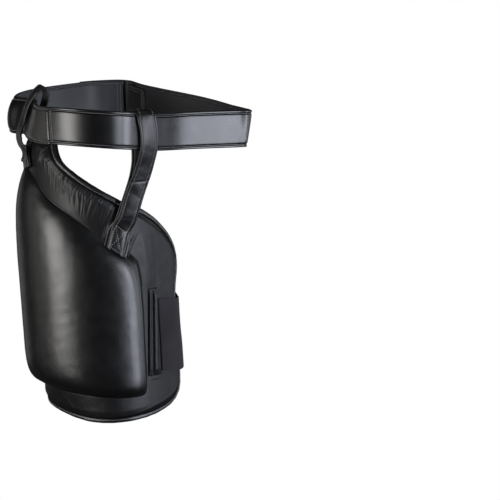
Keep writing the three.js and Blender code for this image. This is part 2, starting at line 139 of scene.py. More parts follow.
# Mesh of the guard: stations round it, and rings from the inner face's middle to the bulge's spine
STATIONS_PER_SIDE = 440
FINE_PER_RIB = 60
GATHER_DENSITY = 1.8
INNER_RINGS = 17
INNER_RISE_SHARE = 0.2
EDGE_RING_SHARES = (0.3, 0.7)
RIM_RINGS = 9
BAND_RINGS = 25
BAND_CROWDING = 1.35
WALL_RINGS = 29
CROWN_RINGS = 22
# Rings round the first crown ring over which relief turns from the surface's normal to the sleeve's
CROWN_TURN = (-2, 6)
# Distance from the foot that is given to rings where it has no effect
FAR_AWAY = 99.0

# Stretched skin of the bulge, relaxed on a grid, which takes over between two distances from the foot
FIELD_CELL = 2.5
FIELD_MARGIN = 3
FIELD_ROUNDS = 600
FIELD_STATION_STEP = 4
# A cell takes its slope and softness from the stations, mostly from those that are near
NEAR_OFFSET = 9
NEAR_POWER = 1.5
FOOT_BLEND = (3, 11)

# Relief of the guard's cover, which starts a short way inside the binding
RELIEF_FADE = 5
COVER_RIPPLES = [(0.14, 55, 3), (0.05, 17, 5)]
# Seam along the bulge's foot, which is shallow where the foot is soft
SEAM_DEPTH = 0.5
SEAM_WIDTH = 1.8
SEAM_SOFT = (0.1, 0.35)
SEAM_SOFT_LOSS = 0.8
# Bead inside the binding: distance from the outline at the left and the right, and the angles between them
EDGE_BEAD_INSETS = (9.5, 14.5)
EDGE_BEAD_ANGLES = (10, 45)
EDGE_BEAD_WIDTH = 1.3
EDGE_BEAD_HEIGHT = 0.8
# Gathers: first and last length along the outline, pitch, nearest and farthest from the outline, depth
GATHERS = [
    (2, 212, 3.2, 6, 24, 0.36),
    (0, 210, 3.9, 7, 46, 0.36),
    (4, 206, 5.3, 10, 52, 0.4),
    (80, 202, 8.5, 12, 46, 0.34),
]
GATHER_SEED = 11
GATHER_CHANCE = {
    "shift": (-0.3, 0.3),
    "begin": (0, 0.25),
    "end": (0.45, 1.0),
    "width": (0.2, 0.34),
    "slant": (-0.22, 0.22),
    "depth": (0.45, 1.0),
}
GATHER_RISE = (-2, 5)
GATHER_FULL_SHARE = 0.5
GATHER_VALLEY = 0.75
GATHER_VALLEY_SHIFT = 1.5
# Puckers, stripes and wrinkles: start and end as angle and height, width, height. The fade is in widths
RIDGE_FADE = 2.5
ANCHOR_PUCKERS = [
    ((3.9, -124.7), (0.2, -146.3), 1.5, 1.0),
    ((5.0, -136.9), (1.4, -153.2), 1.3, 0.7),
    ((26.3, -137.7), (17.3, -169.1), 1.5, 1.0),
    ((23.2, -145.3), (16.7, -163.6), 1.3, 0.7),
]
WELT_PUCKERS = [
    ((35.6, -180.8), (35.3, -214), 1.5, 0.8),
    ((38.4, -192.4), (38.1, -215), 1.3, 0.8),
    ((44.2, -182.9), (44.7, -222), 1.8, 0.9),
    ((49.5, -184.4), (48.2, -228), 1.5, 0.7),
    ((52.1, -179.7), (50.6, -226), 1.5, 0.6),
    ((29.6, -337.1), (44, -333.9), 1.3, 0.6),
    ((30.4, -341), (39.7, -340.6), 1.3, 0.6),
]
FLANGE_STRIPES = [
    ((32, -140), (34, -212), 12, 2.0),
    ((31.4, -146), (33.5, -212), 3.6, 0.6),
    ((37.6, -148), (39, -205), 3.2, 0.5),
    ((45, -152), (46.5, -190), 3.6, 0.5),
]
BOTTOM_WRINKLES = [
    ((-78.5, -376.9), (-66.7, -385.9), 1.8, 0.36),
    ((-56.6, -368), (-52.5, -386), 1.8, 0.36),
    ((-43.5, -370), (-38.3, -388), 1.8, 0.32),
    ((-27.4, -371), (-24.9, -388), 1.8, 0.27),
    ((-8, -372), (-7, -389), 2.0, 0.27),
    ((-92, -371), (-84, -382), 1.8, 0.27),
]

# Bands are sections swept along the rows of a table
FINE_PER_ROW = 40
SHORT_OF_LAST = 0.001
PATH_STEP = 0.5

# Waist belt, along its middle line, clockwise seen from above
BELT_WIDTH = 50
BELT_COLUMNS = ["x", "y", "z", "lean", "cup"]
BELT_ROWS = [
    [-74, 129.5, 3.8, 3, 0],
    [-60, 136.5, 4.2, 5, 0],
    [-38, 140.3, 4.8, 5, 0],
    [-19, 140.4, 5.2, 5, 0],
    [-9.5, 137, 5.2, 5, 0],
    [-3, 129, 5.2, 0, 0],
    [13.5, 101, 4.6, 0, 0],
    [40, 69, 3.8, 0, 0],
    [67.5, 41, 2.8, 0, 0],
    [94, 13, 1.8, 0, 0],
    [117, -17, 1, 0, 0],
    [138.5, -50, 0, 0, 0],
    [151, -72, 0, -6, 0],
    [158.2, -85.2, 0, -11, 0],
    [160.1, -90.2, 0, -10, 0],
    [160.8, -92.9, 0.2, -8, 0],
    [159.8, -94.7, 0.4, -4, 0],
    [150, -97.9, 0.7, -1, 0],
    [140, -101.1, 0.9, 0, 0],
    [122, -107, 1.3, 0, 0],
    [97, -114.7, 1.7, 0, 0],
    [71, -122.2, 1.7, 0, 0],
    [52, -126.1, 1.3, 0, 0],
    [34, -129.6, 1.5, 0, 0],
    [20, -132.3, 2.7, 0, 0],
    [6, -135.6, 4.1, 0, 0],
    [-4, -138.9, 5.1, 0, 0],
    [-20, -142.9, 6.7, 0, 0],
    [-45, -143.3, 8.5, 0, 0],
    [-70, -135.8, 9.1, 0, 0],
    [-90, -123.4, 8.6, 0, 0],
    [-106, -108.5, 6.8, 2, 0],
    [-119, -90, 5.6, 6, 0],
    [-128, -64, 5.4, 12, 0],
    [-131.5, -33, 4.6, 18, 0],
    [-136.5, -8, 2.6, 18, 1],
    [-148, 14, -0.5, 13, 3],
    [-160, 35, -2, 9, 6],
    [-157, 55, -1, 6, 5],
    [-142, 74, 1, 3, 3],
    [-101.5, 103, 3, 0, 0],
    [-59, 130, 4.2, 3, 0],
    [-36, 134.2, 4.8, 5, 0],
    [-14, 134.5, 5.2, 5, 0],
]
BELT_STEP = 1.2
BELT_STITCH_INSET = 4.1
BELT_RIPPLES = [(0.07, 80, 31)]
# A face belongs to the lining, or to the patch, where its normal goes this far in, or out
BELT_FACE_TURN = 0.6
# Dull patch on the outer face, from and to a length along the belt, and the seam that ends it
BELT_PATCH = (638, 668)
BELT_SEAM = 634
BELT_SEAM_WIDTH = 1.3
BELT_SEAM_DEPTH = 0.7
BELT_SEAM_STITCHES = (627.5, 630)
BELT_END_INSETS = (3.5, 8)
# Distance from the belt's edge, half its thickness there
BELT_SECTION = [
    (0, 0.5), (0.2, 1.0), (0.6, 1.45), (1.2, 1.72), (2.2, 1.78), (3.0, 1.6), (3.6, 1.05), (4.1, 0.85),
    (4.6, 1.05), (5.3, 1.6), (6.4, 1.95), (8, 2.12), (12, 2.2), (18, 2.25), (25, 2.25),
]

# Thin tab with a round end on the belt's inner face
TAB_COLUMNS = ["x", "y", "z", "width"]
TAB_ROWS = [
    [-4.8, 124.5, 5, 42],
    [3.5, 110.5, 4.5, 42],
    [10, 100, 4.2, 42],
    [13.5, 95.6, 4, 40],
    [16, 92.5, 3.8, 34],
    [17.6, 90.5, 3.7, 22],
]
TAB_STEP = 0.8
TAB_STITCH_INSETS = (3.1, 7)
TAB_STITCH_SIDE = -1
TAB_SECTION = [
    (0, 0.3), (0.3, 0.6), (0.8, 0.75), (2, 0.8), (2.8, 0.6), (3.4, 0.6), (4.4, 0.72), (10, 0.72), (21, 0.72),
]

# Loop straps, from the outer layer's sewn end over the belt to the inner layer's sewn end. A sewn end lies
# between two places on the guard: angle, height, how far it is raised, how far it is turned
STRAP_WIDTH = 25.5
STRAP_THICKNESS = 2.4
STRAP_COLUMNS = ["x", "y", "z", "facing", "slant"]
FRONT_ANCHOR = [(8.2, -162, 4.6, -8), (13.6, -133.5, 0.9, -8)]
FRONT_SLANT = 0.3
FRONT_STRAP_ROWS = [
    [0.9, -119, -116, 9],
    [11.5, -123, -82, 14],
    [23.2, -128.5, -49, 24],
    [31.2, -135.5, -16, 28],
    [30.8, -137.5, 8, 25],
    [28.6, -137.5, 20, 19],
    [27.4, -135, 27, 15],
    [24.2, -128, 30.6, 9],
    [21.2, -117.5, 27.6, 2],
    [19.8, -112.5, 20, -5],
    [19, -111, 0, -8],
    [19.2, -111.5, -25, -4],
    [19.2, -113.5, -42, 2],
    [15.7, -115, -63, 6],
    [9.8, -115.6, -82, 9],
    [-2, -115.2, -116, 13],
]
SIDE_ANCHOR = [(-70, -61, 0, 0), (-72.5, -47, 0, 0)]
SIDE_SLANT = 0.0
SIDE_STRAP_ROWS = [
    [-141.6, -33.5, -40, -72],
    [-146.6, -27, -30, -72],
    [-148.6, -20.5, -19, -72],
    [-143.5, -15.5, 0, -74],
    [-137.5, -15, 19, -75],
    [-131, -16.5, 30.5, -75],
    [-124, -17.5, 40, -73],
    [-117.5, -16.5, 44.5, -71],
    [-113.3, -15, 41.5, -70],
    [-112, -14, 32, -69],
    [-117, -14, 14, -71],
    [-126, -17.5, -6, -75],
    [-130.2, -24.5, -20, -76],
    [-133.5, -29.5, -29, -75],
    [-136.6, -35, -38.5, -74],
]
STRAP_STEP = 1.2
STRAP_STITCH_INSET = 4.2
STRAP_SECTION = [
    (0, 0.3), (0.2, 0.7), (0.6, 1.05), (1.2, 1.25), (2.2, 1.4), (3.0, 1.3), (3.7, 0.95), (4.2, 0.8),
    (4.7, 0.9), (5.6, 1.1), (7, 1.2), (8.5, 1.26), (10, 1.3), (11.7, 1.33), (13.5, 1.34),
]
# Ripples of a strap, whose own seed is added to these
STRAP_RIPPLES = [(0.2, 24, 0), (0.05, 9, 7)]
FRONT_SEED = 61
SIDE_SEED = 62
# The layer under the front strap's sewn end is wider, and narrows between two lengths from its end
FRONT_END_WIDTH = 33
STRAP_END_LENGTH = (20, 38)
# Box with a cross that is sewn over a strap's end: first and last length, share of the half width
FRONT_BOX = (3.0, 32.0, 0.66)
SIDE_BOX = (2.5, 14.0, 0.66)
BOX_GROOVE_WIDTH = 2.0
BOX_GROOVE_DEPTH = 0.6
BOX_GROOVE_FADE = (1.1, 1.4)
# Creases across the front strap: length along it, tilt, width, depth
FRONT_CREASES = [(104, 4, 1.6, 0.5), (84, -5, 3.0, 0.15), (50, 3, 2.5, 0.2)]

# Elastic round the back of the thigh. Its rows count as evenly spaced, and its two edges are thin
ELASTIC_WIDTH = 100
ELASTIC_THICKNESS = 2
ELASTIC_COLUMNS = ["angle", "middle", "top_lift", "low_lift"]
ELASTIC_ROWS = [
    [41.6, -282, 1.5, 1.5],
    [54, -285, 1.5, 1.5],
    [63, -288, 1.5, 1.5],
    [70, -289, -1.4, -0.4],
    [77, -290, -6.8, -3.2],
    [90, -291, -12, -6.8],
    [108, -291, -13, -8.5],
    [132, -290, -12, -9],
    [160, -288, -10, -9],
    [186, -286, -6, -6],
    [204, -284, -1.2, -1.2],
    [212, -283, 1.2, 1.2],
    [221, -283, 1.5, 1.5],
    [234, -283, 1.5, 1.5],
]
ELASTIC_ROW_SPACING = 10
ELASTIC_STEPS = 260
ELASTIC_FLAT_POINTS = 31
ELASTIC_FLAT_SHARE = 0.98
ELASTIC_EDGE_SHARE = 0.995
ELASTIC_EDGE_THICKNESS = 0.45
ELASTIC_EDGE_SLOPE = 60
ELASTIC_RIPPLES = [(0.25, 45, 41)]

# Welt in front of the elastic: height, first and last angle of its two ends. Its profile and the flank behind
# it go by share of the width and height above the flange
WELT_TOP = (-217, 33, 42.4)
WELT_LOW = (-337, 28.8, 39.4)
WELT_LAST_ANGLE = 41.1
WELT_STEPS = 90
WELT_END_HEIGHT = 0.35
WELT_END_SLOPE = 9
WELT_PROFILE = [
    (0, 0), (0.03, 0.7), (0.09, 2.3), (0.16, 3.0), (0.23, 2.6), (0.29, 1.4), (0.34, 0.9), (0.4, 1.4),
    (0.46, 3.1), (0.55, 4.2), (0.65, 4.5), (0.74, 4.2), (0.8, 3.3), (0.83, 2.4),
]
WELT_FLANK = [(0.5, 1.7), (1.0, 1.2), (1.0, 0.5), (1.0, 0)]
WELT_RIPPLES = [(0.03, 24, 51)]

# Sewing thread. A stitch has rings along it: share of its length, share of its radius, lift
STITCH_PITCH = 3.2
STITCH_LENGTH = 2.1
STITCH_RADIUS = 0.48
STITCH_SIDES = 6
STITCH_SLANT = 0.1
STITCH_SINK = 0.02
STITCH_REACH = 0.6
STITCH_RINGS = [
    (-0.5, 0.45, -0.28), (-0.34, 0.9, 0.05), (0.0, 1.0, 0.16), (0.34, 0.9, 0.05), (0.5, 0.45, -0.28),
]

# Leathers: dark and light colour, lowest and highest roughness, share of grain, share of creasing, gloss
LEATHERS = {
    "pad_leather": [(0.0015, 0.0015, 0.0016), (0.003, 0.003, 0.0032), (0.29, 0.35), 1, 1, 0.5],
    "flange_leather": [(0.002, 0.002, 0.0022), (0.004, 0.004, 0.0044), (0.4, 0.48), 1.3, 1.4, 0.29],
    "binding_leather": [(0.0015, 0.0015, 0.0016), (0.003, 0.003, 0.0032), (0.31, 0.4), 1.3, 1, 0.5],
    "belt_leather": [(0.0015, 0.0015, 0.0016), (0.003, 0.003, 0.0033), (0.27, 0.3), 0.5, 0.1, 0.5],
    "belt_patch": [(0.008, 0.008, 0.0075), (0.016, 0.016, 0.015), (0.55, 0.7), 1, 1, 0.5],
    "belt_lining": [(0.015, 0.0156, 0.0185), (0.022, 0.023, 0.0265), (0.5, 0.56), 1, 0.1, 0.5],
    "strap_leather": [(0.0012, 0.0012, 0.0013), (0.0025, 0.0025, 0.0027), (0.33, 0.46), 1, 1, 0.5],
    "tab_leather": [(0.002, 0.002, 0.0022), (0.004, 0.004, 0.0044), (0.42, 0.55), 1, 1, 0.5],
}
ELASTIC_TONES = [(0.008, 0.0075, 0.0085), (0.024, 0.0225, 0.0255)]
# Thread tones: the black thread is coloured grey, a painted sheen for the light its twist catches
THREAD_TONES_PAINTED_SHEEN = [(0.1, 0.1, 0.104), (0.25, 0.25, 0.26)]
# Leather's noises: scale, detail, roughness. Its bumps: strength, depth in metres
LEATHER_NOISES = {
    "sag": (34, 2, 0.5),
    "creases": (130, 4, 0.6),
    "pores": (1700, 3, 0.5),
    "patches": (22, 3, 0.5),
    "shine": (60, 4, 0.5),
}
PEBBLE_SCALE = 1000
PEBBLE_EDGE = 0.22
CREASE_BUMPS = {"sag": (0.04, 0.004), "creases": (0.06, 0.0015)}
GRAIN_BUMPS = {"pebbles": (0.14, 0.00012), "pores": (0.08, 0.0001)}
# Sockets of a Mix node for each kind of data: first and second input, result
MIX_SOCKETS = {"RGBA": (6, 7, 2), "FLOAT": (2, 3, 0)}

# Stage, in metres
CAMERA_PLACE = (0.16335, -3.96922, 0.65932)
CAMERA_TILT = 78
CAMERA_LENS = 213.333
CAMERA_SENSOR = 36
CAMERA_CLIP_END = 100
FLOOR_HEIGHT = -1.0
FLOOR_HALF = 40
# Soft lights: name, direction from the front, height, distance, width, tall, watts, colour
LIGHTS = [
    ("left_fill_softbox", -92, -0.2, 2.0, 0.8, 1.4, 2.2, (1.0, 0.985, 0.96)),
    ("left_softbox", -57, -0.2, 2.0, 0.9, 1.4, 36, (1.0, 0.985, 0.96)),
    ("right_softbox", 37, -0.5, 2.0, 0.6, 2.4, 58, (0.85, 0.88, 1.0)),
    ("right_fill_softbox", 68, -0.2, 2.0, 0.9, 1.4, 16, (0.84, 0.88, 1.0)),
    ("right_edge_softbox", 105, -0.2, 2.0, 0.9, 1.4, 8, (0.9, 0.94, 1.0)),
    ("top_softbox", 0, 2.2, 0.4, 1.2, 1.2, 2, (1.0, 1.0, 1.0)),
    ("back_left_softbox", -140, -0.6, 2.2, 0.8, 1.2, 1.0, (1.0, 1.0, 1.0)),
    ("back_softbox", 178, -0.65, 2.2, 0.9, 1.2, 8, (0.95, 0.97, 1.0)),
]
LIGHT_AIM = (-0.02, 0.0, -0.17)
WORLD_BOUNCE = 0.035
FLOOR_BOUNCE = 0.03


def columns_of(names, rows):
    values = np.array(rows, float)
    return {name: values[:, i] for i, name in enumerate(names)}


def mix(a, b, share):
    return a + (b - a) * share


def smoothstep(value, low, high):
    share = np.clip((value - low) / (high - low), 0, 1)
    return share * share * (3 - 2 * share)


def bump(distance, width):
    return np.exp(-((distance / width) ** 2))


def unit(vectors):
    return vectors / np.maximum(np.linalg.norm(vectors, axis=-1, keepdims=True), TINY)


def bend(start, end, leave, reach, share):
    """A cubic from start to end that leaves and reaches them with the given slopes."""
    square = -3 * start + 3 * end - 2 * leave - reach
    cube = 2 * start - 2 * end + leave + reach
    return start + share * (leave + share * (square + share * cube))


def smooth_line(points, places, closed=False):
    """Points of a centripetal Catmull-Rom curve, at places that are counted in given points."""
    points = np.asarray(points, float)
    if closed:
        given = np.vstack([points[-1:], points, points[:2]])
    else:
        given = np.vstack([2 * points[0] - points[1], points, 2 * points[-1] - points[-2]])
    first = np.clip(np.floor(places).astype(int), 0, len(given) - 4)
    before, start, end, after = (given[first + k] for k in range(4))
    gap_in, gap, gap_out = (
        np.linalg.norm(b - a, axis=1, keepdims=True) ** 0.5 + TINY
        for a, b in ((before, start), (start, end), (end, after))
    )
    leave = ((start - before) / gap_in - (end - before) / (gap_in + gap) + (end - start) / gap) * gap
    reach = ((end - start) / gap - (after - start) / (gap + gap_out) + (after - end) / gap_out) * gap
    return bend(start, end, leave, reach, (places - first)[:, None])


def even_bend(before, start, end, after, share):
    """A cubic between the middle two of four evenly spaced values."""
    return bend(start, end, (end - before) / 2, (after - start) / 2, share)


def ring_values(values, places):
    """Values of a closed ring at places that are counted in its values, without corners."""
    first = np.floor(places).astype(int)
    return even_bend(*(values[(first + k) % len(values)] for k in (-1, 0, 1, 2)), places - first)


def lengths_along(points):
    return np.concatenate([[0], np.cumsum(np.linalg.norm(np.diff(points, axis=0), axis=1))])


def at_lengths(at, length, rows):
    """Rows such as points, which are known at some lengths, at other lengths."""
    return np.stack([np.interp(at, length, column) for column in rows.T], axis=1)


def flat_points(across, up):
    return np.stack(np.broadcast_arrays(across, up), axis=-1)


def ripples(points, table):
    """Smooth random relief, as the sum of a table's rows of height, wavelength and seed."""
    relief = np.zeros(points.shape[:-1])
    for height, wavelength, seed in table:
        chance = np.random.default_rng(seed)
        total = np.zeros(points.shape[:-1])
        for _ in range(RIPPLE_WAVES):
            direction = unit(chance.normal(size=points.shape[-1]))
            pace = 2 * math.pi / (wavelength * chance.uniform(*RIPPLE_SPREAD))
            total += np.sin(points @ direction * pace + chance.uniform(0, 2 * math.pi))
        relief += height * total / math.sqrt(RIPPLE_WAVES)
    return relief


# Meshes


def grid_faces(rows, columns, wrap_rows=False, wrap_columns=False):
    """Quads of a grid of points that is numbered row by row."""
    row, column = np.meshgrid(
        np.arange(rows if wrap_rows else rows - 1),
        np.arange(columns if wrap_columns else columns - 1),
        indexing="ij",
    )
    next_row = (row + 1) % rows
    next_column = (column + 1) % columns
    corners = [(row, column), (row, next_column), (next_row, next_column), (next_row, column)]
    return np.stack([r * columns + c for r, c in corners], axis=-1).reshape(-1, 4).tolist()


def add_piece(name, points, faces, material, uv=None):
    """A smooth mesh object, from points in millimetres, with its faces turned outward."""
    mesh = bpy.data.meshes.new(name)
    mesh.from_pydata((np.asarray(points).reshape(-1, 3) * MM).tolist(), [], faces)
    if uv is not None:
        layer = mesh.uv_layers.new(name="weave")
        corner = np.zeros(len(mesh.loops), int)
        mesh.loops.foreach_get("vertex_index", corner)
        layer.data.foreach_set("uv", (np.asarray(uv).reshape(-1, 2)[corner] * MM).ravel())
    shape = bmesh.new()
    shape.from_mesh(mesh)
    bmesh.ops.remove_doubles(shape, verts=shape.verts, dist=MERGE_DISTANCE)
    bmesh.ops.recalc_face_normals(shape, faces=shape.faces)
    shape.to_mesh(mesh)
    shape.free()
    mesh.polygons.foreach_set("use_smooth", [True] * len(mesh.polygons))
    mesh.materials.append(material)
    piece = bpy.data.objects.new(name, mesh)
    bpy.context.scene.collection.objects.link(piece)
    return piece


def place_piece(piece, nodes=()):
    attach(piece, "root")
    if nodes:
        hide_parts(*nodes)
    return piece


# Sewing


def stitch_row(points, normals):
    """Places of the stitches along a line: middle, direction and normal of each."""
    length = lengths_along(points)
    at = np.arange(STITCH_PITCH / 2, length[-1], STITCH_PITCH)
    ahead = at_lengths(at + STITCH_REACH, length, points)
    behind = at_lengths(at - STITCH_REACH, length, points)
    return at_lengths(at, length, points), unit(ahead - behind), unit(at_lengths(at, length, normals))


def add_stitches(name, rows, material):
    """One mesh with a short thread for each stitch of the rows."""
    middle, along, normal = (np.concatenate([row[i] for row in rows]) for i in range(3))
    along = unit(along + unit(np.cross(normal, along)) * STITCH_SLANT)
    side = unit(np.cross(normal, along))
    rings = []
    for share, thick, lift in STITCH_RINGS:
        centre = middle + along * share * STITCH_LENGTH + normal * lift
        for angle in np.arange(STITCH_SIDES) * 2 * math.pi / STITCH_SIDES:
            spoke = side * math.cos(angle) + normal * math.sin(angle)
            rings.append(centre + STITCH_RADIUS * thick * spoke)
    points = np.stack(rings, axis=1)
    count, per_stitch = points.shape[:2]
    stitch = grid_faces(len(STITCH_RINGS), STITCH_SIDES, wrap_columns=True)
    stitch.append(list(range(STITCH_SIDES))[::-1])
    stitch.append(list(range(per_stitch - STITCH_SIDES, per_stitch)))
    faces = [[i * per_stitch + k for k in face] for i in range(count) for face in stitch]
    return add_piece(name, points, faces, material)


# Materials


def mixed(tree, kind, factor, first, second):
    """Result of a new Mix node, between two colours or two numbers."""
    made = tree.nodes.new("ShaderNodeMix")
    made.data_type = kind
    first_socket, second_socket, result = MIX_SOCKETS[kind]
    tree.links.new(factor, made.inputs[0])
    made.inputs[first_socket].default_value = first
    made.inputs[second_socket].default_value = second
    return made.outputs[result]


class Nodes:
    """A new node material with a Principled shader, and short ways to add and link nodes."""

    def __init__(self, name):
        self.material = bpy.data.materials.new(name)
        self.material.use_nodes = True
        self.tree = self.material.node_tree
        self.shader = next(n for n in self.tree.nodes if n.type == "BSDF_PRINCIPLED")

    def feed(self, socket, value):
        if isinstance(value, bpy.types.NodeSocket):
            self.tree.links.new(value, socket)
        else:
            socket.default_value = value

    def feed_named(self, node, inputs):
        for name, value in inputs.items():
            self.feed(node.inputs[name.replace("_", " ")], value)

    def add(self, kind, settings=None, **inputs):
        made = self.tree.nodes.new(kind)
        for name, value in (settings or {}).items():
            setattr(made, name, value)
        self.feed_named(made, inputs)
        return made

    def shade(self, **inputs):
        self.feed_named(self.shader, inputs)
        return self.material

    def calculate(self, operation, *values):
        made = self.add("ShaderNodeMath", {"operation": operation})
        for socket, value in zip(made.inputs, values):
            self.feed(socket, value)
        return made.outputs[0]

    def place(self):
        return self.add("ShaderNodeTexCoord").outputs["Object"]

    def noise(self, place, scale, detail=2.0, roughness=0.5):
        made = self.add("ShaderNodeTexNoise", Vector=place, Scale=scale, Detail=detail, Roughness=roughness)
        return made.outputs["Fac"]

    def wave(self, place, direction, **inputs):
        made = self.add("ShaderNodeTexWave", {"bands_direction": direction}, Vector=place, **inputs)
        return made.outputs["Fac"]

    def spread(self, value, low, high, from_low=0.3, from_high=0.7):
        made = self.add(
            "ShaderNodeMapRange", Value=value, From_Min=from_low, From_Max=from_high, To_Min=low, To_Max=high,
        )
        return made.outputs["Result"]

    def blend_colours(self, factor, first, second):
        return mixed(self.tree, "RGBA", factor, (*first, 1), (*second, 1))

    def bumps(self, heights):
        """Bump nodes one over the other, from rows of height output, strength and distance."""
        under = {}
        for height, strength, distance in heights:
            made = self.add("ShaderNodeBump", Height=height, Strength=strength, Distance=distance, **under)
            under = {"Normal": made.outputs["Normal"]}
        return under["Normal"]


def leather(name, dark, light, shine, grain, creasing, gloss):
    """Coated leather: fine pebbled grain, soft creasing, a shine that varies over the surface."""
    made = Nodes(name)
    place = made.place()
    edges = {"feature": "DISTANCE_TO_EDGE"}
    cells = made.add("ShaderNodeTexVoronoi", edges, Vector=place, Scale=PEBBLE_SCALE)
    height = {key: made.noise(place, *values) for key, values in LEATHER_NOISES.items()}
    height["pebbles"] = made.spread(cells.outputs["Distance"], 0, 1, 0.0, PEBBLE_EDGE)
    heights = []
    for bumps, share in ((CREASE_BUMPS, creasing), (GRAIN_BUMPS, grain)):
        heights += [(height[key], strength * share, depth) for key, (strength, depth) in bumps.items()]
    return made.shade(
        Base_Color=made.blend_colours(made.spread(height["patches"], 0, 1), dark, light),
        Roughness=made.spread(height["shine"], *shine),
        Normal=made.bumps(heights),
        Specular_IOR_Level=gloss,
    )


def thread(name, dark, light):
    """Twisted sewing thread: black thread, coloured grey as a painted sheen."""
    made = Nodes(name)
    place = made.place()
    strands = made.wave(place, "DIAGONAL", Scale=900.0, Distortion=1.5)
    return made.shade(
        Base_Color=made.blend_colours(strands, dark, light),
        Roughness=made.spread(made.noise(place, scale=400.0), low=0.5, high=0.75),
        Normal=made.bumps([(strands, 0.4, 0.0002)]),
        Specular_IOR_Level=0.35,
    )


def elastic_weave(name, dark, light):
    """Woven elastic: fine ribs along it, crossed by the weft, with a matt fuzzy face."""
    made = Nodes(name)
    weave = made.add("ShaderNodeUVMap", {"uv_map": "weave"}).outputs["UV"]
    ribs = made.wave(weave, "Y", Scale=190.0, Distortion=0.6, Detail=1.0)
    weft = made.wave(weave, "X", Scale=300.0, Distortion=1.2, Detail=1.0)
    cross = made.calculate("MULTIPLY", ribs, weft)
    fuzz = made.noise(made.place(), scale=1400.0, detail=4.0, roughness=0.7)
    wear = made.spread(made.noise(made.place(), scale=26.0, detail=3.0), low=0, high=0.45)
    return made.shade(
        Base_Color=made.blend_colours(made.calculate("MULTIPLY_ADD", cross, 0.6, wear), dark, light),
        Roughness=made.spread(fuzz, low=0.82, high=0.97),
        Normal=made.bumps([(cross, 0.5, 0.0004), (fuzz, 0.2, 0.0002)]),
        Specular_IOR_Level=0.25,
        Sheen_Weight=0.08,
        Sheen_Roughness=0.5,
    )


def make_materials():
    materials = {name: leather(name, *values) for name, values in LEATHERS.items()}
    materials["elastic"] = elastic_weave("elastic_weave", *ELASTIC_TONES)
    materials["thread"] = thread("black_thread_painted_sheen", *THREAD_TONES_PAINTED_SHEEN)
    return materials


# Guard


def axis_x(height):
    return AXIS_X_AT_TOP + (AXIS_TOP_HEIGHT - height) * AXIS_LEAN


def flange_radius(height):
    tuck = TUCK_DEPTH * smoothstep(height, TUCK_FROM, TUCK_TO)
    return FLANGE_RADIUS - (AXIS_TOP_HEIGHT - height) * FLANGE_TAPER - tuck


def low_tuck(angle, height):
    """How far the flange's lower edge turns inward at the front."""
    first, full, last, end = LOW_TUCK_ANGLES
    window = smoothstep(angle, first, full) * (1 - smoothstep(angle, last, end))
    return LOW_TUCK_DEPTH * window * smoothstep(-height, -LOW_TUCK_FROM, -LOW_TUCK_TO)


def sleeve_point(angle, height, lift):
    """Points at a distance from the sleeve's outer face. Angles go from the front, positive to +X."""
    angle, height, lift = np.broadcast_arrays(angle, height, lift)
    radius = flange_radius(height) + lift - low_tuck(angle, height)
    turn = np.radians(angle)
    return np.stack([axis_x(height) + radius * np.sin(turn), AXIS_Y - radius * np.cos(turn), height], axis=-1)


def unrolled(angle, height):
    """Places on the unrolled sleeve, in millimetres."""
    return flat_points(angle * MM_PER_DEGREE, height)


def on_sleeve(flat, lift):
    return sleeve_point(flat[..., 0] / MM_PER_DEGREE, flat[..., 1], lift)


def bulge_height(flat):
    side = (flat[..., 0] / MM_PER_DEGREE - CROWN_ANGLE) / CROWN_HALF_ANGLE
    return BULGE_SIDE_HEIGHT + BULGE_CROWN_SWELL * np.maximum(0, 1 - side * side) ** CROWN_POWER


def inside_outline(places, outline):
    """Whether places lie inside a closed line, by counting the crossings of a ray."""
    inside = np.zeros(places.shape[:-1], bool)
    for a, b in zip(outline, np.roll(outline, -1, axis=0)):
        between = (a[1] > places[..., 1]) != (b[1] > places[..., 1])
        cut = a[0] + (places[..., 1] - a[1]) * (b[0] - a[0]) / (b[1] - a[1] + TINY)
        inside ^= between & (places[..., 0] < cut)
    return inside


def eased(share, soft):
    """A rise that starts sharply where soft is 0, and gently where it is 1."""
    return mix(share, smoothstep(share, 0, 1), soft)


def stuffed_field(foot, slope, soft):
    """Share of the bulge's height on a grid over the sleeve, as of a stretched skin held down at its foot."""
    low = foot.min(axis=0) - FIELD_MARGIN * FIELD_CELL
    high = foot.max(axis=0) + FIELD_MARGIN * FIELD_CELL
    lines = [np.arange(low[i], high[i], FIELD_CELL) for i in range(2)]
    places = np.stack(np.meshgrid(*lines, indexing="ij"), axis=-1)
    inside = inside_outline(places, foot)
    weight = slope_sum = soft_sum = 0
    for point, slowness, softness in zip(foot, slope, soft):
        near = 1 / (np.sum((places - point) ** 2, axis=-1) + NEAR_OFFSET) ** NEAR_POWER
        weight = weight + near
        slope_sum = slope_sum + near * slowness
        soft_sum = soft_sum + near * softness
    pull = (FIELD_CELL * weight / slope_sum) ** 2
    share = np.zeros(inside.shape)
    for _ in range(FIELD_ROUNDS):
        around = sum(np.roll(share, step, axis) for axis in (0, 1) for step in (1, -1))
        share = np.where(inside, (around + pull) / (4 + pull), 0)
    return low, eased(share / share.max(), soft_sum / weight)


def field_value(field, places):
    """Smooth value of a gridded field at places on the sleeve."""
    low, share = field
    at = (places - low) / FIELD_CELL
    first = np.floor(at).astype(int)
    part = at - first
    row, column = np.moveaxis(np.clip(first, 1, np.array(share.shape) - 3), -1, 0)
    near = (-1, 0, 1, 2)
    lines = [even_bend(*(share[row + i, column + k] for i in near), part[..., 0]) for k in near]
    return even_bend(*lines, part[..., 1])


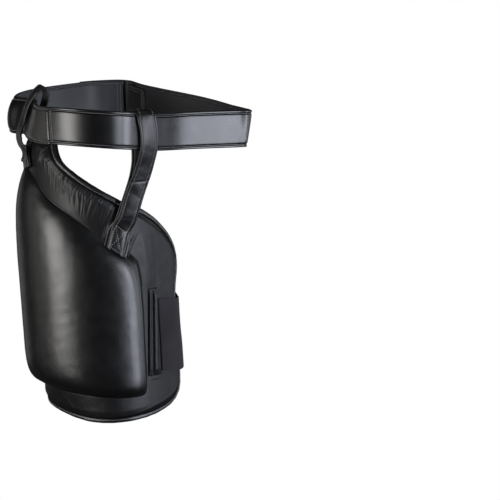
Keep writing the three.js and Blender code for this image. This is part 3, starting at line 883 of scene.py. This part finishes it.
def station_places(edge_points, gather):
    """Places of the stations, counted in ribs: even along each side, denser where the cover is gathered."""
    places = []
    ends = (0, len(RIBS_DOWN), len(RIBS_DOWN) + len(RIBS_UP))
    for first, last in zip(ends, ends[1:]):
        fine = np.linspace(first, last, FINE_PER_RIB * (last - first) + 1)
        length = np.linalg.norm(np.diff(smooth_line(edge_points, fine, True), axis=0), axis=1)
        dense = 1 + GATHER_DENSITY * np.clip(ring_values(gather, fine[:-1]), 0, 1)
        counted = np.concatenate([[0], np.cumsum(length * dense)])
        even = np.arange(STATIONS_PER_SIDE) / STATIONS_PER_SIDE * counted[-1]
        places.append(np.interp(even, counted, fine))
    return np.concatenate(places)


def spine_shares(place, steps):
    """How far down the spine each station's line ends, the same for two stations that face each other."""
    ribs = len(RIBS_DOWN)
    half = STATIONS_PER_SIDE
    down = np.concatenate([[0], np.cumsum(steps[:ribs])])
    up = np.concatenate([[0], np.cumsum(steps[ribs:])])
    share = np.where(
        np.arange(len(place)) < half,
        smooth_line(down[:, None], np.clip(place, 0, ribs))[:, 0] / down[-1],
        1 - smooth_line(up[:, None], np.clip(place - ribs, 0, len(RIBS_UP)))[:, 0] / up[-1],
    )
    paired = np.concatenate([[0], (share[1:half] + share[:half:-1]) / 2, [1]])
    share = np.concatenate([paired, paired[-2:0:-1]])
    return mix((1 - np.cos(math.pi * share)) / 2, share, SPINE_EVEN_SHARE)


def guard_stations():
    """Stations round the guard: outline, bulge's foot and spine on the unrolled sleeve, the ribs' values."""
    rib = columns_of(RIB_COLUMNS, RIBS_DOWN + RIBS_UP)
    edge_points = unrolled(rib["edge_angle"], rib["edge_height"])
    foot_points = unrolled(rib["foot_angle"], rib["foot_height"])
    place = station_places(edge_points, rib["gather"])
    edge = smooth_line(edge_points, place, True)
    along = np.roll(edge, -1, axis=0) - np.roll(edge, 1, axis=0)
    spine_share = spine_shares(place, rib["steps"])[:, None]
    return {
        "edge": edge,
        "foot": smooth_line(foot_points, place, True),
        "inward": unit(np.stack([along[:, 1], -along[:, 0]], axis=1)),
        "spine": mix(unrolled(*SPINE_TOP), unrolled(*SPINE_BOTTOM), spine_share),
        "roll": ring_values(rib["roll"], place),
        "slope": ring_values(rib["slope"], place),
        "soft": np.clip(ring_values(rib["soft"], place), 0, 1),
        "length": lengths_along(edge),
    }


def gathers(along, inward):
    """Relief of short gathers, at lengths along the outline and distances inward from it."""
    chance = np.random.default_rng(GATHER_SEED)
    relief = np.zeros(inward.shape)

    def draw(name):
        return chance.uniform(*GATHER_CHANCE[name])

    for first, last, pitch, nearest, farthest, depth in GATHERS:
        at = first
        while at < last:
            middle = at + draw("shift") * pitch
            begin = nearest + draw("begin") * (farthest - nearest)
            end = mix(begin, farthest, draw("end"))
            width = pitch * draw("width")
            across = along - middle - draw("slant") * (inward - begin)
            height = depth * draw("depth")
            rise = smoothstep(inward - begin, *GATHER_RISE)
            fall = smoothstep(inward, mix(begin, end, GATHER_FULL_SHARE), end)
            valley = GATHER_VALLEY * bump(across - GATHER_VALLEY_SHIFT * width, width)
            relief += height * rise * (1 - fall) * (bump(across, width) - valley)
            at += pitch
    return relief


def line_ridges(flat, ridges):
    """Relief of straight ridges on the unrolled sleeve."""
    relief = np.zeros(flat.shape[:-1])
    for start, end, width, height in ridges:
        start, end = unrolled(*start), unrolled(*end)
        length = np.linalg.norm(end - start)
        way = (end - start) / length
        offset = flat - start
        at = offset @ way
        across = offset[..., 0] * way[1] - offset[..., 1] * way[0]
        fade = RIDGE_FADE * width
        window = smoothstep(at, -width, fade) * (1 - smoothstep(at, length - fade, length + width))
        relief += height * window * bump(across, width)
    return relief


def bulge_rings(st):
    """Rings of the bulge, foot to spine: places on the unrolled sleeve, lift, distance from the foot."""
    reach = unit(st["spine"] - st["foot"])
    tangent = unit(np.roll(st["foot"], -1, axis=0) - np.roll(st["foot"], 1, axis=0))
    square_on = np.abs(tangent[:, 0] * reach[:, 1] - tangent[:, 1] * reach[:, 0])
    shoulder = st["foot"] + reach * st["roll"][:, None]
    rest = np.linalg.norm(st["spine"] - shoulder, axis=1)
    places = []
    for angle in np.linspace(0, 90, WALL_RINGS)[1:]:
        share = 1 - math.cos(math.radians(angle))
        places.append((mix(st["foot"], shoulder, share), share * st["roll"]))
    for share in np.linspace(0, SPINE_REACH, CROWN_RINGS + 1)[1:]:
        places.append((mix(shoulder, st["spine"], share), st["roll"] + share * rest))
    field = stuffed_field(*(st[name][::FIELD_STATION_STEP] for name in ("foot", "slope", "soft")))
    rings = []
    for flat, distance in places:
        from_foot = distance * square_on
        near_foot = eased(1 - np.exp(-from_foot / st["slope"]), st["soft"])
        share = mix(near_foot, field_value(field, flat), smoothstep(from_foot, *FOOT_BLEND))
        rings.append((flat, bulge_height(flat) * share, distance))
    return rings


def guard_rings(st):
    """Rings over the inner face, round the edge, over the flange and up the bulge: places on the unrolled
    sleeve, lift, distance inward from the outline and from the foot, and which ring lies at the foot."""
    start = st["edge"] + st["inward"] * COVER_START
    rim = st["edge"] + st["inward"] * (COVER_START + RIM_SLOPE_WIDTH)
    band = np.linalg.norm(st["foot"] - rim, axis=1)
    rings = []

    def ring(flat, lift, inward, away=FAR_AWAY):
        rings.append([flat, *(np.broadcast_to(value, len(flat)) for value in (lift, inward, away))])

    for share in np.linspace(SPINE_REACH, 0, INNER_RINGS):
        rise = EDGE_INNER_RISE * (1 - smoothstep(share, 0, INNER_RISE_SHARE))
        ring(mix(start, st["spine"], share), rise - FLANGE_THICKNESS, -1)
    for share in EDGE_RING_SHARES:
        ring(start, mix(EDGE_INNER_RISE - FLANGE_THICKNESS, -EDGE_OUTER_DROP, share), 0)
    for share in np.linspace(0, 1, RIM_RINGS):
        drop = EDGE_OUTER_DROP * (1 - math.sin(share * math.pi / 2))
        ring(mix(start, rim, share), -drop, COVER_START + share * RIM_SLOPE_WIDTH)
    for share in 1 - (1 - np.linspace(0, 1, BAND_RINGS)[1:]) ** BAND_CROWDING:
        inward = COVER_START + RIM_SLOPE_WIDTH + share * band
        ring(mix(rim, st["foot"], share), 0, inward, band * (1 - share))
    foot_ring = len(rings) - 1
    for flat, lift, distance in bulge_rings(st):
        ring(flat, lift, BINDING_WIDTH + RIM_SLOPE_WIDTH + band + distance, distance)
    return *(np.stack(values) for values in zip(*rings)), foot_ring


def guard_relief(st, points, flat, inward, away):
    """Relief of the guard's cover: gathers, puckers, the seam at the foot, the edge bead, ripples."""
    relief = gathers(st["length"], inward)
    relief += line_ridges(flat, ANCHOR_PUCKERS + WELT_PUCKERS + FLANGE_STRIPES + BOTTOM_WRINKLES)
    relief -= SEAM_DEPTH * bump(away, SEAM_WIDTH) * (1 - SEAM_SOFT_LOSS * smoothstep(st["soft"], *SEAM_SOFT))
    bead = mix(*EDGE_BEAD_INSETS, smoothstep(st["edge"][:, 0] / MM_PER_DEGREE, *EDGE_BEAD_ANGLES))
    relief += EDGE_BEAD_HEIGHT * bump(inward - bead, EDGE_BEAD_WIDTH)
    relief += ripples(points, COVER_RIPPLES)
    return relief * smoothstep(inward, COVER_START, COVER_START + RELIEF_FADE)


def across_slot(count):
    """Faces that join the two sides of a long narrow ring."""
    half = count // 2
    quads = [[k, k + 1, count - k - 1, count - k] for k in range(1, half - 1)]
    return [[0, 1, count - 1], *quads, [half - 1, half, half + 1]]


def guard_piece(st, stretched, slack):
    """The guard: its bulge in stretched leather, its inner face, edge and flange in slack leather."""
    flat, lift, inward, away, foot_ring = guard_rings(st)
    points = on_sleeve(flat, lift)
    around = np.roll(points, -1, axis=1) - np.roll(points, 1, axis=1)
    normal = unit(np.cross(np.gradient(points, axis=0), around))
    radial = unit(on_sleeve(flat, lift + 1) - points)
    rows, count = points.shape[:2]
    turned = smoothstep(np.arange(rows) - (rows - CROWN_RINGS), *CROWN_TURN)[:, None, None]
    outward = unit(mix(normal, radial, turned))
    points = points + outward * guard_relief(st, points, flat, inward, away)[..., None]
    faces = grid_faces(rows, count, wrap_columns=True)
    inner_slot = len(faces)
    for first in (0, (rows - 1) * count):
        faces += [[first + i for i in face] for face in across_slot(count)]
    guard = add_piece("guard", points, faces, stretched)
    guard.data.materials.append(slack)
    for i in [*range(foot_ring * count), *range(inner_slot, inner_slot + count // 2)]:
        guard.data.polygons[i].material_index = 1
    return guard


def binding_section():
    """Points of the binding's section: distance from the outline, distance from the flange's face."""
    middle = (BINDING_OUTER + BINDING_INNER) / 2
    half = (BINDING_OUTER - BINDING_INNER) / 2
    lip = [(BINDING_WIDTH - inset, BINDING_OUTER - drop) for inset, drop in BINDING_LIP]
    nose = []
    for turn in np.radians(np.linspace(90, -90, BINDING_NOSE_POINTS)):
        nose.append((BINDING_ROUND * (1 - math.cos(turn)), middle + half * math.sin(turn)))
    mirrored = [(depth, 2 * middle - lift) for depth, lift in lip]
    return lip + nose + mirrored[::-1]


def binding_piece(st, material):
    rings = [on_sleeve(st["edge"] + st["inward"] * depth, lift) for depth, lift in binding_section()]
    points = np.stack(rings)
    puff = ripples(points, BINDING_RIPPLES)
    points = points + unit(points - points.mean(axis=0)) * puff[..., None]
    faces = grid_faces(*points.shape[:2], wrap_rows=True, wrap_columns=True)
    return add_piece("edge_binding", points, faces, material)


def binding_stitches(st, material):
    flat = st["edge"] + st["inward"] * (BINDING_WIDTH - BINDING_STITCH_INSET)
    rows = []
    for lift, side in ((BINDING_OUTER - STITCH_SINK, 1), (BINDING_INNER + STITCH_SINK, -1)):
        points = on_sleeve(flat, lift)
        normal = (on_sleeve(flat, lift + 1) - points) * side
        rows.append(stitch_row(np.vstack([points, points[:1]]), np.vstack([normal, normal[:1]])))
    return add_stitches("edge_binding_stitching", rows, material)


# Bands


def band_frames(rows, names, across, step):
    """Even steps along a band's middle line: length, centre, directions, the table's values."""
    column = columns_of(names, rows)
    knots = np.stack([column[name] for name in "xyz"], axis=1)
    last = len(rows) - 1
    fine = np.linspace(0, last, FINE_PER_ROW * last + 1)
    fine_length = lengths_along(smooth_line(knots, fine))
    length = np.linspace(0, fine_length[-1], int(fine_length[-1] / step) + 1)
    place = np.interp(length, fine_length, fine)
    centre = smooth_line(knots, place)
    along = unit(np.gradient(centre, axis=0))
    bd = {"length": length, "centre": centre, "along": along, "cup": 0 * length, "slant": 0 * length}
    for name in names[3:]:
        values = np.append(column[name], column[name][-1])
        bd[name] = ring_values(values, np.minimum(place, last - SHORT_OF_LAST))
    wide = across(bd)
    bd["wide"] = unit(wide - along * np.sum(wide * along, axis=1, keepdims=True))
    bd["out"] = -unit(np.cross(along, bd["wide"]))
    return bd


def band_points(bd, section, width, relief=None):
    """Rings of a band: its outer face from the lower to the upper edge, then its inner face back."""
    inset, thick = np.array(section, float).T
    inset = np.concatenate([inset, 2 * inset[-1] - inset[-2::-1]])
    thick = np.concatenate([thick, thick[-2::-1]])
    share = 2 * inset / inset[-1] - 1
    half_width = np.broadcast_to(width, len(bd["length"]))[:, None] / 2
    lift = bd["cup"][:, None] * (1 - share**2)
    if relief:
        lift = lift + relief(bd["length"][:, None], share)
    across = (bd["wide"] + bd["along"] * bd["slant"][:, None])[:, None]
    centre = bd["centre"][:, None] + across * (share * half_width)[..., None]
    outer, inner = (centre + bd["out"][:, None] * (lift + side * thick)[..., None] for side in (1, -1))
    return np.concatenate([outer, inner[:, ::-1]], axis=1)


def band_piece(name, points, material, uv=None):
    """The rings of a band as a piece, closed at both ends."""
    rows, count = points.shape[:2]
    faces = grid_faces(rows, count, wrap_columns=True)
    for row in (0, rows - 1):
        for k in range(count // 2 - 1):
            faces.append([row * count + i for i in (k, k + 1, count - 2 - k, count - 1 - k)])
    return add_piece(name, points, faces, material, uv)


def face_line(bd, section, width, share, side):
    """A line along a band's face at a share of its half width, with normals."""
    thick = np.interp((1 - abs(share)) * width / 2, *np.array(section, float).T)
    lift = bd["cup"] * (1 - share**2) + side * thick
    return bd["centre"] + bd["wide"] * share * width / 2 + bd["out"] * lift[:, None], bd["out"] * side


def band_path(bd, section, width, corners, side, relief):
    """A line over a band's face, with normals, through corners of length and share of the half width."""
    length, share = np.array(corners, float).T
    way = lengths_along(flat_points(length, share * width / 2))
    at = np.linspace(0, way[-1], int(way[-1] / PATH_STEP) + 2)
    length, share = np.interp(at, way, length), np.interp(at, way, share)
    thick = np.interp((1 - np.abs(share)) * width / 2, *np.array(section, float).T)
    vectors = ("centre", "wide", "along", "out")
    centre, wide, along, out = (at_lengths(length, bd["length"], bd[name]) for name in vectors)
    slant = np.interp(length, bd["length"], bd["slant"])[:, None]
    across = (wide + along * slant) * (share * width / 2)[:, None]
    out = unit(out)
    lift = side * thick + relief(length, share)
    return centre + across + out * lift[:, None], out * side


def belt_across(bd):
    """Upward, and leaning by the table's angle."""
    lean = np.radians(bd["lean"])[:, None]
    outward = unit(bd["along"][:, [1, 0, 2]] * (-1, 1, 0))
    return UPWARD * np.cos(lean) - outward * np.sin(lean)


def dress_belt_faces(belt, bd, lining, patch):
    """Gives the faces that look into the belt's loop, and the dull patch outside, materials of their own."""
    belt.data.materials.append(lining)
    belt.data.materials.append(patch)
    middle = bd["centre"] * MM
    for face in belt.data.polygons:
        nearest = np.argmin(np.sum((middle - np.array(face.center)) ** 2, axis=1))
        outward = np.array(face.normal) @ bd["out"][nearest]
        if outward < -BELT_FACE_TURN:
            face.material_index = 1
        elif outward > BELT_FACE_TURN and BELT_PATCH[0] < bd["length"][nearest] < BELT_PATCH[1]:
            face.material_index = 2


def make_belt(materials):
    bd = band_frames(BELT_ROWS, BELT_COLUMNS, belt_across, BELT_STEP)

    def relief(length, share):
        waves = ripples(flat_points(length, share * BELT_WIDTH / 2), BELT_RIPPLES)
        return waves - BELT_SEAM_DEPTH * bump(length - BELT_SEAM, BELT_SEAM_WIDTH)

    points = band_points(bd, BELT_SECTION, BELT_WIDTH, relief)
    belt = place_piece(band_piece("waist_belt", points, materials["belt_leather"]), ["belt"])
    dress_belt_faces(belt, bd, materials["belt_lining"], materials["belt_patch"])
    edge = 1 - 2 * BELT_STITCH_INSET / BELT_WIDTH
    rows = []
    for side in (1, -1):
        for share in (edge, -edge):
            rows.append(stitch_row(*face_line(bd, BELT_SECTION, BELT_WIDTH, share, side)))
    crossings = [(length, 1) for length in BELT_SEAM_STITCHES]
    crossings += [(bd["length"][-1] - inset, -1) for inset in BELT_END_INSETS]
    for length, side in crossings:
        run = [(length, -edge), (length, edge)]
        rows.append(stitch_row(*band_path(bd, BELT_SECTION, BELT_WIDTH, run, side, relief)))
    place_piece(add_stitches("waist_belt_stitching", rows, materials["thread"]))


def tab_across(bd):
    return np.broadcast_to(UPWARD, bd["along"].shape)


def make_tab(materials):
    bd = band_frames(TAB_ROWS, TAB_COLUMNS, tab_across, TAB_STEP)
    points = band_points(bd, TAB_SECTION, bd["width"])
    tab = band_piece("belt_tab", points, materials["tab_leather"])
    place_piece(tab, ["belt_end_tab"])
    length = float(bd["length"][-1])
    normal = bd["out"] * TAB_STITCH_SIDE
    middle = bd["centre"] + normal * TAB_SECTION[-1][1]
    borders = []
    for inset in TAB_STITCH_INSETS:
        across = bd["wide"] * (bd["width"] / 2 - inset)[:, None]
        inside = bd["length"] < length - inset
        run = np.concatenate([(middle - across)[inside], (middle + across)[inside][::-1]])
        borders.append(stitch_row(run, np.concatenate([normal[inside], normal[inside][::-1]])))
    place_piece(add_stitches("belt_tab_stitching", borders, materials["thread"]))


def strap_across(bd):
    facing = np.radians(bd["facing"])
    return np.stack([np.cos(facing), np.sin(facing), 0 * facing], axis=1)


def strap_rows(anchor, rows, slant):
    """The strap's table with its two sewn ends, one over the other on the guard."""
    inner_lift = GAP + STRAP_THICKNESS / 2
    outer_lift = inner_lift + GAP + STRAP_THICKNESS

    def sewn(end, lift, lower):
        angle, height, raised, turned = end
        return [*sleeve_point(angle, height, lift + raised), angle + turned, lower]

    low, high = anchor
    outer = [sewn(low, outer_lift, -slant), sewn(high, outer_lift, -slant)]
    inner = [sewn(high, inner_lift, slant), sewn(low, inner_lift, slant)]
    return outer + [[*row, 0] for row in rows] + inner


def box_grooves(length, share, box):
    """Depth of the grooves that a sewn box with a cross pulls into a strap."""
    first, last, edge = box
    ahead = (2 * length - first - last) / (last - first)
    across = share / edge
    reach = edge * STRAP_WIDTH / 2
    from_middle = np.maximum(np.abs(ahead), np.abs(across))
    lines = bump((from_middle - 1) * reach, BOX_GROOVE_WIDTH)
    for line in (across - ahead, across + ahead):
        lines = lines + bump(line * reach, BOX_GROOVE_WIDTH)
    return BOX_GROOVE_DEPTH * np.minimum(1, lines) * (1 - smoothstep(from_middle, *BOX_GROOVE_FADE))


def make_strap(name, node, anchor, rows, slant, seed, end_width, box, creases, materials):
    bd = band_frames(strap_rows(anchor, rows, slant), STRAP_COLUMNS, strap_across, STRAP_STEP)
    waves = [(height, wavelength, seed + own) for height, wavelength, own in STRAP_RIPPLES]
    end = float(bd["length"][-1])

    def relief(length, share):
        total = ripples(flat_points(length, share * STRAP_WIDTH / 2), waves)
        for place, tilt, width, depth in creases:
            total = total - depth * bump(length - place - tilt * share, width)
        return total - box_grooves(length, share, box)

    def sewn(corners, side):
        return stitch_row(*band_path(bd, STRAP_SECTION, STRAP_WIDTH, corners, side, relief))

    widening = 1 - smoothstep(end - bd["length"], *STRAP_END_LENGTH)
    points = band_points(bd, STRAP_SECTION, mix(STRAP_WIDTH, end_width, widening), relief)
    strap = place_piece(band_piece(name, points, materials["strap_leather"]), [node])
    inset = 1 - 2 * STRAP_STITCH_INSET / STRAP_WIDTH
    lines = [sewn([(0, share), (end, share)], side) for side in (1, -1) for share in (inset, -inset)]
    first, last, edge = box
    lines.append(sewn([(first, -edge), (first, edge), (last, edge), (last, -edge), (first, -edge)], 1))
    lines += [sewn([(first, -share), (last, share)], 1) for share in (edge, -edge)]
    place_piece(add_stitches(name + "_stitching", lines, materials["thread"]))


# Elastic and its welt


def make_elastic(materials):
    column = columns_of(ELASTIC_COLUMNS, ELASTIC_ROWS)
    spaced = np.arange(len(ELASTIC_ROWS)) * ELASTIC_ROW_SPACING
    place = np.linspace(0, len(ELASTIC_ROWS) - 1, ELASTIC_STEPS)
    angle, middle, top, low = (
        smooth_line(np.stack([spaced, column[name]], axis=1), place)[:, 1:] for name in ELASTIC_COLUMNS
    )
    face = np.linspace(-ELASTIC_FLAT_SHARE, ELASTIC_FLAT_SHARE, ELASTIC_FLAT_POINTS)
    share = np.concatenate([[-1, -ELASTIC_EDGE_SHARE], face, [ELASTIC_EDGE_SHARE, 1]])
    thinning = np.minimum(1, ELASTIC_EDGE_THICKNESS + ELASTIC_EDGE_SLOPE * (1 - np.abs(share)))
    thick = ELASTIC_THICKNESS / 2 * thinning
    height = middle + share * ELASTIC_WIDTH / 2
    lift = mix(low, top, (share + 1) / 2)
    length = lengths_along(sleeve_point(angle[:, 0], middle[:, 0], lift[:, share.size // 2]))
    flat = flat_points(length[:, None], share * ELASTIC_WIDTH / 2)
    lift = lift + ripples(flat, ELASTIC_RIPPLES)
    outer, inner = (sleeve_point(angle, height, lift + side * thick) for side in (1, -1))
    points = np.concatenate([outer, inner[:, ::-1]], axis=1)
    uv = np.concatenate([flat, flat[:, ::-1]], axis=1)
    elastic = band_piece("thigh_band", points, materials["elastic"], uv)
    place_piece(elastic, ["thigh_elastic"])


def make_welt(materials):
    profile, flank = np.array(WELT_PROFILE), np.array(WELT_FLANK)
    along = np.linspace(0, 1, WELT_STEPS)[:, None]
    height, first, last = (mix(top, low, along) for top, low in zip(WELT_TOP, WELT_LOW))
    ends = np.minimum(1, WELT_END_HEIGHT + WELT_END_SLOPE * np.minimum(along, 1 - along))
    rolls = mix(first, last, profile[:, 0])
    angle = np.concatenate([rolls, mix(rolls[:, -1:], WELT_LAST_ANGLE, flank[:, 0])], axis=1)
    uneven = ripples(unrolled(angle, height), WELT_RIPPLES)
    rise = np.concatenate([profile[:, 1], flank[:, 1]]) * (ends + uneven)
    points = sleeve_point(angle, height, GAP + rise)
    rows, count = points.shape[:2]
    faces = grid_faces(rows, count, wrap_columns=True)
    faces.append(list(range(count)))
    faces.append(list(range((rows - 1) * count, rows * count)))
    welt = add_piece("elastic_facing", points, faces, materials["flange_leather"])
    place_piece(welt, ["elastic_welt"])


# Stage


def make_camera():
    camera = bpy.data.objects.new("camera", bpy.data.cameras.new("camera"))
    camera.location = CAMERA_PLACE
    camera.rotation_euler = (math.radians(CAMERA_TILT), 0, 0)
    camera.data.lens = CAMERA_LENS
    camera.data.sensor_width = CAMERA_SENSOR
    camera.data.clip_end = CAMERA_CLIP_END
    bpy.context.scene.collection.objects.link(camera)
    bpy.context.scene.camera = camera


def make_lights():
    for name, direction, height, distance, width, tall, watts, colour in LIGHTS:
        lamp = bpy.data.lights.new(name, "AREA")
        lamp.shape = "RECTANGLE"
        lamp.size = width
        lamp.size_y = tall
        lamp.energy = watts
        lamp.color = colour
        light = bpy.data.objects.new(name, lamp)
        turn = math.radians(direction)
        light.location = (math.sin(turn) * distance, -math.cos(turn) * distance, height)
        aim = Vector(LIGHT_AIM) - light.location
        light.rotation_euler = aim.to_track_quat("-Z", "Y").to_euler()
        bpy.context.scene.collection.objects.link(light)


def white_to_the_eye(tree, strength, bounced):
    """White where it is looked at directly, and a dim grey as a source of light."""
    path = tree.nodes.new("ShaderNodeLightPath")
    tree.links.new(mixed(tree, "FLOAT", path.outputs["Is Camera Ray"], bounced, 1.0), strength)


def make_world():
    world = bpy.data.worlds.new("studio")
    bpy.context.scene.world = world
    world.use_nodes = True
    background = world.node_tree.nodes["Background"]
    background.inputs["Color"].default_value = (1, 1, 1, 1)
    white_to_the_eye(world.node_tree, background.inputs["Strength"], WORLD_BOUNCE)
    bpy.context.scene.view_settings.view_transform = "Standard"


def make_floor():
    mesh = bpy.data.meshes.new("floor")
    half = FLOOR_HALF
    corners = [(-half, -half), (half, -half), (half, half), (-half, half)]
    mesh.from_pydata([(x, y, FLOOR_HEIGHT) for x, y in corners], [], [(0, 1, 2, 3)])
    floor = bpy.data.objects.new("floor", mesh)
    bpy.context.scene.collection.objects.link(floor)
    material = bpy.data.materials.new("floor_white")
    material.use_nodes = True
    tree = material.node_tree
    tree.nodes.clear()
    glow = tree.nodes.new("ShaderNodeEmission")
    white_to_the_eye(tree, glow.inputs["Strength"], FLOOR_BOUNCE)
    out = tree.nodes.new("ShaderNodeOutputMaterial")
    tree.links.new(glow.outputs[0], out.inputs["Surface"])
    mesh.materials.append(material)


def main():
    make_camera()
    make_lights()
    make_world()
    make_floor()
    materials = make_materials()
    st = guard_stations()
    guard = guard_piece(st, materials["pad_leather"], materials["flange_leather"])
    place_piece(guard, ["pad_shell"])
    place_piece(binding_piece(st, materials["binding_leather"]), ["pad_binding"])
    place_piece(binding_stitches(st, materials["thread"]))
    make_belt(materials)
    make_tab(materials)
    make_strap("front_loop", "front_strap", FRONT_ANCHOR, FRONT_STRAP_ROWS, FRONT_SLANT, FRONT_SEED,
               FRONT_END_WIDTH, FRONT_BOX, FRONT_CREASES, materials)
    make_strap("side_loop", "side_strap", SIDE_ANCHOR, SIDE_STRAP_ROWS, SIDE_SLANT, SIDE_SEED,
               STRAP_WIDTH, SIDE_BOX, [], materials)
    make_elastic(materials)
    make_welt(materials)


main()
